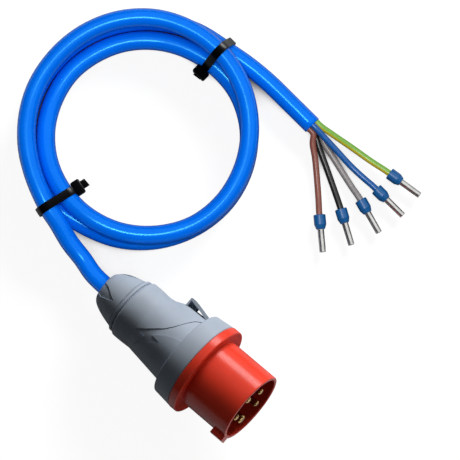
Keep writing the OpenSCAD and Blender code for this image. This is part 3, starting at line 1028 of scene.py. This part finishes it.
@dataclass
class CoreEnds:
    """The five insulated cores that fan out of the jacket's cut end, each into its ferrule.

    Attributes:
        cable: The cable that they come out of.
        diameter: Diameter of the insulation.
        pitch: Distance of the cores from the cable's middle at the cut.
        tuck: Share of the cut's hollow that the cores reach down.
        pieces: How many pieces a core's line has between two points.
        rounding: How finely the insulation is rounded.
        ferrule_height: Height of the ferrules' axes, in millimetres.
        ferrule_depth: Depth of the ferrules' collars, in millimetres.
        ferrule_run: Straight run before a ferrule, in millimetres.
        ferrule_play: Play left at the bottom of a collar, in millimetres.
        angles: Place of each core around the cable's middle, in degrees.
        points: Points of each core between the cut and its ferrule.
        starts: Rear end of each ferrule on the floor's plane.
        tips: Front end of each ferrule on the floor's plane.
        colours: Main colour and stripe of each core.
    """

    cable: Cable
    diameter: float = 4.6 * MM
    pitch: float = 4.0 * MM
    tuck: float = 0.9
    pieces: int = 8
    rounding: int = 8
    ferrule_height: float = 4.5
    ferrule_depth: float = 6.5
    ferrule_run: float = 2.0
    ferrule_play: float = 0.2
    angles: dict[Core, float] = field(
        default_factory=lambda: {
            Core.BROWN: 162, Core.BLACK: 234, Core.GREY: 306, Core.BLUE: 90, Core.GREEN_YELLOW: 18,
        }
    )
    points: dict[Core, tuple[Triple, ...]] = field(
        default_factory=lambda: {
            Core.BROWN: ((-25.2, 175.8, 6.6), (-17.3, 169.2, 4.8), (-7, 159.3, 3.4), (4.1, 148.1, 3.6)),
            Core.BLACK: ((-19.4, 176.7, 3), (-6.6, 169.4, 2.8), (7, 161.5, 3.2)),
            Core.GREY: ((-19.3, 181.8, 3), (-9.1, 178.6, 2.8), (4.7, 174.2, 2.8), (16.9, 170.4, 3.6)),
            Core.BLUE: ((-21.7, 184.5, 9.2), (-7.9, 183.1, 6.2), (5.9, 181.6, 3.8), (19.2, 181, 3.8)),
            Core.GREEN_YELLOW: ((-18.9, 190.2, 6.6), (-2.3, 192.3, 3.6), (14.8, 193.8, 3.6)),
        }
    )
    starts: dict[Core, Pair] = field(
        default_factory=lambda: {
            Core.BROWN: (12, 139.8), Core.BLACK: (21, 153), Core.GREY: (27.6, 167.3),
            Core.BLUE: (31.1, 180.7), Core.GREEN_YELLOW: (30.9, 195.7),
        }
    )
    tips: dict[Core, Pair] = field(
        default_factory=lambda: {
            Core.BROWN: (32.2, 120.1), Core.BLACK: (43.9, 138.2), Core.GREY: (53.2, 158),
            Core.BLUE: (57.5, 178.7), Core.GREEN_YELLOW: (58.2, 197.8),
        }
    )
    colours: dict[Core, tuple[Colour, Colour]] = field(
        default_factory=lambda: {
            Core.BROWN: ((0.27, 0.088, 0.062), (0.27, 0.088, 0.062)),
            Core.BLACK: ((0.012, 0.012, 0.013), (0.012, 0.012, 0.013)),
            Core.GREY: ((0.27, 0.25, 0.25), (0.27, 0.25, 0.25)),
            Core.BLUE: ((0.003, 0.105, 0.39), (0.003, 0.105, 0.39)),
            Core.GREEN_YELLOW: ((0.19, 0.43, 0.05), (0.55, 0.45, 0.02)),
        }
    )

    def exit(self, core: Core) -> Vector:
        """Gives the point where a core leaves the jacket.

        Args:
            core: The core.

        Returns:
            The point.
        """
        _, side, up = self.cable.end_frame()
        angle = math.radians(self.angles[core])
        away = side * math.cos(angle) + up * math.sin(angle)
        return Vector(self.cable.cut) * MM + away * self.pitch

    def heading(self, core: Core) -> Vector:
        """Gives the direction of a core's ferrule."""
        return (Vector(self.tips[core]) - Vector(self.starts[core])).to_3d().normalized()

    def base(self, core: Core) -> Vector:
        """Gives the rear end of a core's ferrule."""
        return Vector((*self.starts[core], self.ferrule_height)) * MM

    def line(self, core: Core) -> list[Vector]:
        """Gives a core's centre line.

        Args:
            core: The core.

        Returns:
            Its points, from inside the jacket into its ferrule.
        """
        ahead, _, _ = self.cable.end_frame()
        out = self.exit(core)
        base = self.base(core)
        heading = self.heading(core)
        points = [out - ahead * self.cable.recess * self.tuck, out + ahead * self.diameter]
        points += [Vector(p) * MM for p in self.points[core]]
        points.append(base - heading * self.ferrule_run * MM)
        points.append(base + heading * (self.ferrule_depth - self.ferrule_play) * MM)
        return smooth_line(points, self.pieces)

    def insulation(self, core: Core, line: Sequence[Vector]) -> bpy.types.Object:
        """Sweeps and dresses the insulation of one core.

        Args:
            core: The core.
            line: Its centre line.

        Returns:
            The insulation's object.
        """
        piece = tube("insulation_" + core.value, line, self.diameter / 2, self.rounding)
        mesh = bmesh.new()
        mesh.from_mesh(piece.data)
        close_ends(mesh)
        bmesh.ops.recalc_face_normals(mesh, faces=mesh.faces)
        mesh.to_mesh(piece.data)
        mesh.free()
        skin = CoreSkin("core_" + core.value, *self.colours[core])
        piece.data.materials.append(skin.material())
        return piece

    def build(self) -> list[bpy.types.Object]:
        """Builds the five cores.

        Returns:
            The cores' objects.
        """
        made = []
        for core in Core:
            line = self.line(core)
            piece = self.insulation(core, line)
            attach(piece, ROOT_BODY)
            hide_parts("core_" + core.value)
            self.exit(core)
            LOG.info("core %s: %.0f mm", core.value, line_length(line) / MM)
            made.append(piece)
        return made


@dataclass
class CableTie:
    """A cable tie around the coil: strap, locking head on the inner side and cropped tail.

    Attributes:
        name: The piece's name.
        node: The CAD node that it stands for.
        cable: The cable that it holds.
        wrap: Wrap angle of its place on the coil.
        turn: Rotation, in degrees, that sets it square to its strands.
        head_up: Height of the head's middle above the inner strand's.
        tail: Length of the cropped tail in front of the head.
        gap: Gap between strap and cable.
        width: Width of the strap.
        thickness: Thickness of the strap.
        strap_soft: Rounding of the strap's edges.
        corner: Angle above which an edge of the strap is rounded.
        facets: How finely the strap follows a strand.
        head: Depth, height and width of the head.
        head_over: How far the head reaches over the strap.
        head_soft: Rounding of the head's edges.
        mouth_rim: Width of the rim around the head's recess.
        mouth_draft: How far the recess narrows.
        mouth_depth: Depth of the recess.
        crop: Slant of the tail's cropped end.
        tail_soft: Rounding of the tail's edges.
        crease: Angle above which an edge is shaded sharp.
    """

    name: str
    node: str
    cable: Cable
    wrap: float
    turn: float
    head_up: float
    tail: float
    gap: float = 0.5 * MM
    width: float = 6.2 * MM
    thickness: float = 1.2 * MM
    strap_soft: float = 0.25 * MM
    corner: float = math.radians(60)
    facets: int = 48
    head: Triple = (7.2 * MM, 8.8 * MM, 11 * MM)
    head_over: float = 0.6 * MM
    head_soft: float = 1.3 * MM
    mouth_rim: float = 0.7 * MM
    mouth_draft: float = 0.3 * MM
    mouth_depth: float = 1.0 * MM
    crop: float = 0.8 * MM
    tail_soft: float = 0.2 * MM
    crease: float = math.radians(30)

    def strands(self) -> Triple:
        """Gives the wrap angles of the three strands inside: top, inner and outer."""
        return self.wrap, self.wrap + 360, self.wrap + 720

    def spot(self, strand: float) -> Vector:
        """Gives the middle of a strand in the tie's own plane."""
        return Vector((lookup(self.cable.radii, strand), lookup(self.cable.heights, strand))) * MM

    def frame(self) -> Matrix:
        """Gives the tie's own axes: X outwards from the coil, Y up, Z along the cable.

        Returns:
            The matrix that takes them to the frame's.
        """
        angle = math.radians(self.cable.start - self.wrap)
        out = Vector((math.cos(angle), math.sin(angle), 0))
        place = Matrix((out, UP, out.cross(UP))).transposed().to_4x4()
        top, inner, _ = self.strands()
        pivot = Matrix.Translation(((self.spot(top).x + self.spot(inner).x) / 2, 0, 0))
        square = pivot @ Matrix.Rotation(math.radians(self.turn), 4, "Y") @ pivot.inverted()
        return Matrix.Translation(Vector((*self.cable.centre, 0)) * MM) @ place @ square

    def outline(self) -> list[Vector]:
        """Gives the strap's inner line around its strands.

        Returns:
            Its points, in the tie's own plane.
        """
        reach = self.cable.diameter / 2 + self.gap
        dots = []
        for strand in self.strands():
            middle = self.spot(strand)
            for i in range(self.facets):
                angle = math.tau * i / self.facets
                dots.append(middle + Vector((math.cos(angle), math.sin(angle))) * reach)
        return [dots[i] for i in convex_hull_2d(dots)]

    def add_strap(self, mesh: bmesh.types.BMesh) -> None:
        """Adds the strap as a closed band with softened edges.

        Args:
            mesh: The tie's bmesh.
        """
        row = [mesh.verts.new((p.x, p.y, -self.width / 2)) for p in self.outline()]
        edges = [mesh.edges.new((a, b)) for a, b in zip(row, row[1:] + row[:1])]
        made = bmesh.ops.extrude_edge_only(mesh, edges=edges)["geom"]
        moved = [g for g in made if isinstance(g, bmesh.types.BMVert)]
        bmesh.ops.translate(mesh, verts=moved, vec=(0, 0, self.width))
        faces = [g for g in made if isinstance(g, bmesh.types.BMFace)]
        bmesh.ops.recalc_face_normals(mesh, faces=faces)
        middle = sum((self.spot(s) for s in self.strands()), Vector((0, 0))) / 3
        outwards = faces[0].calc_center_median() - middle.to_3d()
        if faces[0].normal.dot(outwards) < 0:
            bmesh.ops.reverse_faces(mesh, faces=faces)
        bmesh.ops.solidify(mesh, geom=faces, thickness=-self.thickness)
        corners = [e for e in mesh.edges if e.is_manifold and e.calc_face_angle(0) > self.corner]
        soften(mesh, corners, self.strap_soft, segments=2)

    def head_place(self) -> Vector:
        """Gives the middle of the head.

        Returns:
            The point in the tie's own axes.
        """
        inner = self.spot(self.strands()[1])
        seat = inner.x - self.cable.diameter / 2 - self.gap
        return Vector((seat - self.head[0] / 2 + self.head_over, inner.y + self.head_up, 0))

    def add_head(self, mesh: bmesh.types.BMesh) -> None:
        """Adds the locking head, softened, with a recess where the tail leaves it.

        Args:
            mesh: The tie's bmesh.
        """
        place = Matrix.Translation(self.head_place()) @ Matrix.Diagonal((*self.head, 1))
        made = bmesh.ops.create_cube(mesh, size=1, matrix=place)["verts"]
        soften(mesh, edges_of(made), self.head_soft, segments=3)
        mouth = min(mesh.faces, key=lambda f: f.calc_center_median().x)
        bmesh.ops.inset_region(mesh, faces=[mouth], thickness=self.mouth_rim)
        bmesh.ops.inset_region(mesh, faces=[mouth], thickness=self.mouth_draft, depth=-self.mouth_depth)

    def add_tail(self, mesh: bmesh.types.BMesh) -> None:
        """Adds the tail, from the middle of the head to its slanting end.

        Args:
            mesh: The tie's bmesh.
        """
        size = (self.head[0] / 2 + self.tail, self.thickness, self.width)
        middle = self.head_place() - Vector((size[0] / 2, 0, 0))
        place = Matrix.Translation(middle) @ Matrix.Diagonal((*size, 1))
        made = bmesh.ops.create_cube(mesh, size=1, matrix=place)["verts"]
        for vert in made:
            if vert.co.x < middle.x and vert.co.z > 0:
                vert.co.x += self.crop
        soften(mesh, edges_of(made), self.tail_soft, segments=2)

    def build(self, finish: MouldedPlastic) -> bpy.types.Object:
        """Builds and dresses the tie.

        Args:
            finish: The nylon that it is moulded from.

        Returns:
            The tie's object.
        """
        mesh = bmesh.new()
        self.add_strap(mesh)
        self.add_head(mesh)
        self.add_tail(mesh)
        bmesh.ops.transform(mesh, matrix=self.frame(), verts=mesh.verts)
        bmesh.ops.recalc_face_normals(mesh, faces=mesh.faces)
        piece = mesh_object(self.name, mesh)
        piece.data.set_sharp_from_angle(angle=self.crease)
        piece.data.materials.append(finish.material())
        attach(piece, ROOT_BODY)
        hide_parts(self.node)
        LOG.info("%s: %d faces", self.name, len(piece.data.polygons))
        return piece


@dataclass
class Plug:
    """The plug's rigid parts and the ferrules, which keep their CAD shape and get their finish here.

    Attributes:
        axis: The plug's axis, which the rings on its pins go across.
    """

    axis: PlugAxis

    def finishes(self) -> dict[str, tuple[str, ...]]:
        """Lists the nodes that each finish is given to.

        Returns:
            The nodes' names by the finish's name.
        """
        return {
            "housing_plastic": ("plug_housing",),
            "nut_plastic": ("gland_nut",),
            "gland_plastic": ("pressure_ring", "clamp_cage"),
            "seal_rubber": ("gland_seal", "flange_gasket"),
            "front_plastic": ("front_sleeve",),
            "insert_plastic": ("contact_insert",),
            "pin_brass": ("pin_earth", "pin_l1", "pin_l2", "pin_l3", "pin_n"),
            "screw_steel": ("terminal_screws",),
            "ferrule_plastic": tuple("ferrule_collar_" + c.value for c in Core),
            "ferrule_tin": tuple("ferrule_tube_" + c.value for c in Core),
        }

    def materials(self) -> dict[str, bpy.types.Material]:
        """Builds the finishes of the plug and the ferrules.

        Returns:
            The materials by name.
        """
        along = (0, self.axis.tilt, 0)
        kinds = (
            MouldedPlastic("housing_plastic", (0.42, 0.475, 0.55), roughness=0.5, specular=0.15),
            MouldedPlastic("nut_plastic", (0.42, 0.475, 0.54), roughness=0.5, specular=0.15),
            MouldedPlastic("gland_plastic", (0.55, 0.56, 0.53), roughness=0.5),
            MouldedPlastic("seal_rubber", (0.02, 0.021, 0.023), roughness=0.7, specular=0.25),
            MouldedPlastic("front_plastic", (0.78, 0.048, 0.022), roughness=0.24, specular=0.15),
            # nearly black insert: its own dark plastic, darkened further as painted shade for the dim
            # inside of the sleeve
            MouldedPlastic("insert_plastic", (0.04, 0.009, 0.008), roughness=0.5, specular=0.2),
            TurnedMetal("pin_brass", (0.55, 0.36, 0.13), (0.3, 0.18, 0.06), 0.24, along),
            TurnedMetal("screw_steel", (0.6, 0.6, 0.6), (0.4, 0.4, 0.41), 0.35),
            MouldedPlastic("ferrule_plastic", (0.004, 0.098, 0.3), roughness=0.36, specular=0.4),
            TurnedMetal("ferrule_tin", (0.58, 0.58, 0.565), (0.48, 0.48, 0.475), 0.3),
        )
        return {kind.name: kind.material() for kind in kinds}

    def dress(self, nodes: dict[str, bpy.types.Object]) -> None:
        """Gives each rigid CAD node its finish, and the cores' ends in the plug that of their cores.

        Args:
            nodes: The frame's CAD nodes by name.
        """
        made = self.materials()
        for name, members in self.finishes().items():
            for member in members:
                nodes[member].data.materials.clear()
                nodes[member].data.materials.append(made[name])
            LOG.info("%s on %d nodes", name, len(members))
        for core in Core:
            lead = nodes["lead_" + core.value]
            lead.data.materials.clear()
            lead.data.materials.append(bpy.data.materials["core_" + core.value])


def main() -> None:
    """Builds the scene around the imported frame, piece by piece."""
    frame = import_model()
    nodes = frame["nodes"]
    bpy.context.scene.view_settings.view_transform = "Standard"
    view = Viewpoint()
    view.build()
    axis = PlugAxis()
    cable = Cable(axis)
    jacket = cable.build()
    cores = CoreEnds(cable).build()
    nylon = MouldedPlastic(
        "tie_nylon", (0.004, 0.004, 0.005), roughness=0.3, specular=0.2, grain=0.5 * MM
    )
    upper = CableTie(
        "tie_upper", "cable_tie_upper", cable, wrap=176.8, turn=2.5, head_up=2.6 * MM, tail=1.4 * MM
    )
    lower = CableTie(
        "tie_lower", "cable_tie_lower", cable, wrap=-2.1, turn=-9, head_up=0.4 * MM, tail=4.6 * MM
    )
    ties = (upper.build(nylon), lower.build(nylon))
    cable.declare()
    Plug(axis).dress(nodes)
    tubes = [piece for node, piece in nodes.items() if node.startswith("ferrule_tube")]
    collars = [piece for node, piece in nodes.items() if node.startswith("ferrule_collar")]
    plug = [piece for node, piece in nodes.items() if not node.startswith("ferrule")]
    Studio(view).build(
        plug=[*plug, *ties],
        cable=[jacket, *cores, *collars],
        metal=tubes,
        front=[nodes["front_sleeve"]],
    )


if __name__ == "__main__":
    logging.basicConfig(level=logging.INFO, format="%(name)s: %(message)s")
    main()
